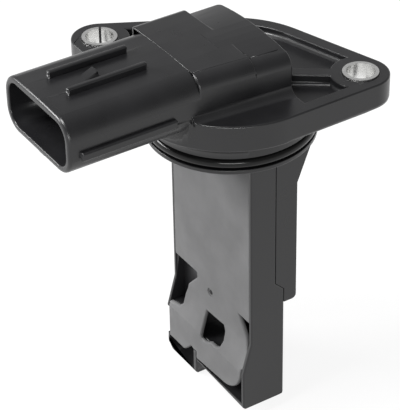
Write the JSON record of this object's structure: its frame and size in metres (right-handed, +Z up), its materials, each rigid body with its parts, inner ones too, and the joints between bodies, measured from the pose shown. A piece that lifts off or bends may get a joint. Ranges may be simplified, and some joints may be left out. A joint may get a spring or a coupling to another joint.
{
  "type": "mass airflow sensor",
  "caption": "Plug-in airflow sensor: a connector and an eared flange on a sealed round neck, with a flat probe below whose ports lead air past a hot-film element.",
  "frame": {"origin": "on the neck's axis, in the plane where the flange seats on the duct", "axes": "+Z up, out of the duct and towards the head; -Z along the probe into the duct; the connector's mouth and the probe's cover face -X; the inlet leg is on the +Y side"},
  "size_m": [0.0707, 0.0531, 0.0881],
  "materials": {
    "housing_plastic": "moulded, fine satin",
    "probe_plastic": "moulded, fine satin",
    "cover_plastic": "moulded, satin",
    "bushing_steel": "plated",
    "seal_rubber": "smooth, slightly oiled",
    "terminal_metal": "tin plated",
    "board_laminate": "lacquered",
    "plate_aluminium": "rolled",
    "chip_resin": "matt",
    "capacitor_ceramic": "fired",
    "resistor_ceramic": "fired",
    "wire_aluminium": "drawn",
    "gel_silicone": "clear",
    "carrier_ceramic": "fired",
    "element_glass": "polished",
    "thermistor_glaze": "glazed",
    "lead_metal": "drawn"
  },
  "bodies": {
    "root": {"sensor_housing": "housing_plastic", "rolled_bushing": "bushing_steel", "plain_bushing": "bushing_steel", "neck_seal": "seal_rubber", "probe_body": "probe_plastic", "probe_cover": "cover_plastic", "terminal_1": "terminal_metal", "terminal_2": "terminal_metal", "terminal_3": "terminal_metal", "terminal_4": "terminal_metal", "terminal_5": "terminal_metal", "circuit_board": "board_laminate", "base_plate": "plate_aluminium", "controller_chip": "chip_resin", "regulator_chip": "chip_resin", "capacitors": "capacitor_ceramic", "resistors": "resistor_ceramic", "bond_wires": "wire_aluminium", "silicone_gel": "gel_silicone", "element_carrier": "carrier_ceramic", "flow_element": "element_glass", "air_thermistor": "thermistor_glaze", "thermistor_lead_a": "lead_metal", "thermistor_lead_b": "lead_metal"}
  },
  "joints": []
}
